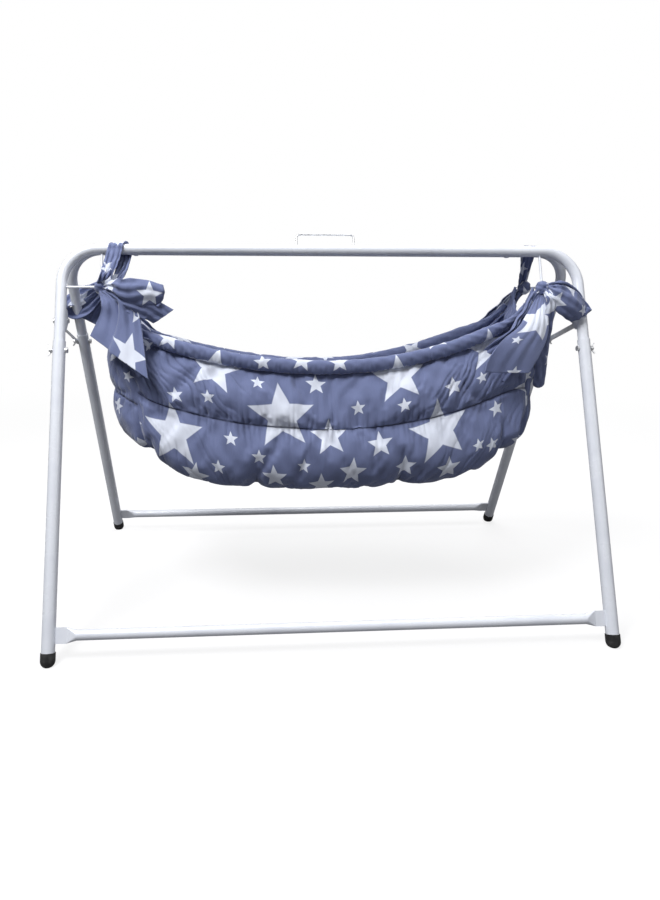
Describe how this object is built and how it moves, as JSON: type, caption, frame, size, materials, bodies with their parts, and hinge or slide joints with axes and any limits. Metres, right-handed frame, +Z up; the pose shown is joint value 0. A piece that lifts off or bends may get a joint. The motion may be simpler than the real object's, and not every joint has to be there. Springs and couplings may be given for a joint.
{
  "type": "baby cradle",
  "caption": "Folding baby cradle: two hinged inverted-U tube frames with stays, and a padded star-print cloth bed tied to wire rods in the upper corners.",
  "frame": {"origin": "on the floor, under the middle of the two rails", "axes": "+Z up, +X along the rails, to the right for a person facing the front, -Y to the front"},
  "size_m": [1.1542, 0.6814, 0.8022],
  "materials": {
    "white_paint": "satin",
    "zinc_steel": "satin",
    "cap_rubber": "matte",
    "print_cloth": "matte"
  },
  "bodies": {
    "front_frame": {"front_top_tube": "white_paint", "front_left_leg": "white_paint", "front_right_leg": "white_paint", "front_crossbar": "white_paint", "front_left_foot": "cap_rubber", "front_right_foot": "cap_rubber", "front_left_rod": "white_paint", "front_right_rod": "white_paint", "front_left_bolt": "zinc_steel", "front_right_bolt": "zinc_steel", "front_left_wing_nut": "zinc_steel", "front_right_wing_nut": "zinc_steel", "front_left_hinge_lug": "white_paint", "front_right_hinge_lug": "white_paint", "front_left_strap": "print_cloth", "front_left_knot": "print_cloth", "front_left_bow": "print_cloth", "front_right_knot": "print_cloth", "front_right_bow": "print_cloth", "front_right_tail": "print_cloth", "left_stay_bracket": "white_paint", "right_stay_bracket": "white_paint", "left_hook_pin": "zinc_steel", "right_hook_pin": "zinc_steel", "carry_handle": "zinc_steel", "left_hinge_pin": "zinc_steel", "right_hinge_pin": "zinc_steel"},
    "back_frame": {"back_top_tube": "white_paint", "back_left_leg": "white_paint", "back_right_leg": "white_paint", "back_crossbar": "white_paint", "back_left_foot": "cap_rubber", "back_right_foot": "cap_rubber", "back_left_rod": "white_paint", "back_right_rod": "white_paint", "back_left_bolt": "zinc_steel", "back_right_bolt": "zinc_steel", "back_left_wing_nut": "zinc_steel", "back_right_wing_nut": "zinc_steel", "back_left_hinge_lug": "white_paint", "back_right_hinge_lug": "white_paint", "back_left_knot": "print_cloth", "back_left_bow": "print_cloth", "back_right_strap": "print_cloth", "back_right_knot": "print_cloth"},
    "cradle": {"front_wall": "print_cloth", "back_wall": "print_cloth", "left_end": "print_cloth", "right_end": "print_cloth", "base_pad": "print_cloth", "front_rim": "print_cloth", "back_rim": "print_cloth", "left_front_cuff": "print_cloth", "right_front_cuff": "print_cloth"},
    "left_stay": {"left_stay": "zinc_steel"},
    "right_stay": {"right_stay": "zinc_steel"}
  },
  "joints": [
    {"name": "frame_fold", "type": "hinge", "parent": "front_frame", "child": "back_frame", "pos_m": [0, 0, 0.758], "axis": [-1, 0, 0], "range_deg": [0, 43]},
    {"name": "cradle_swing", "type": "hinge", "parent": "front_frame", "child": "cradle", "pos_m": [0, 0, 0.69], "axis": [1, 0, 0], "range_deg": [-10, 10]},
    {"name": "left_stay_turn", "type": "hinge", "parent": "back_frame", "child": "left_stay", "pos_m": [-0.5643, 0.0961, 0.56567], "axis": [-1, 0, 0], "range_deg": [0, 48]},
    {"name": "right_stay_turn", "type": "hinge", "parent": "back_frame", "child": "right_stay", "pos_m": [0.5643, 0.0961, 0.56567], "axis": [-1, 0, 0], "range_deg": [0, 48]}
  ],
  "couplings": [
    {"joint": "left_stay_turn", "follows": "frame_fold", "ratio": 1.1},
    {"joint": "right_stay_turn", "follows": "frame_fold", "ratio": 1.1}
  ]
}
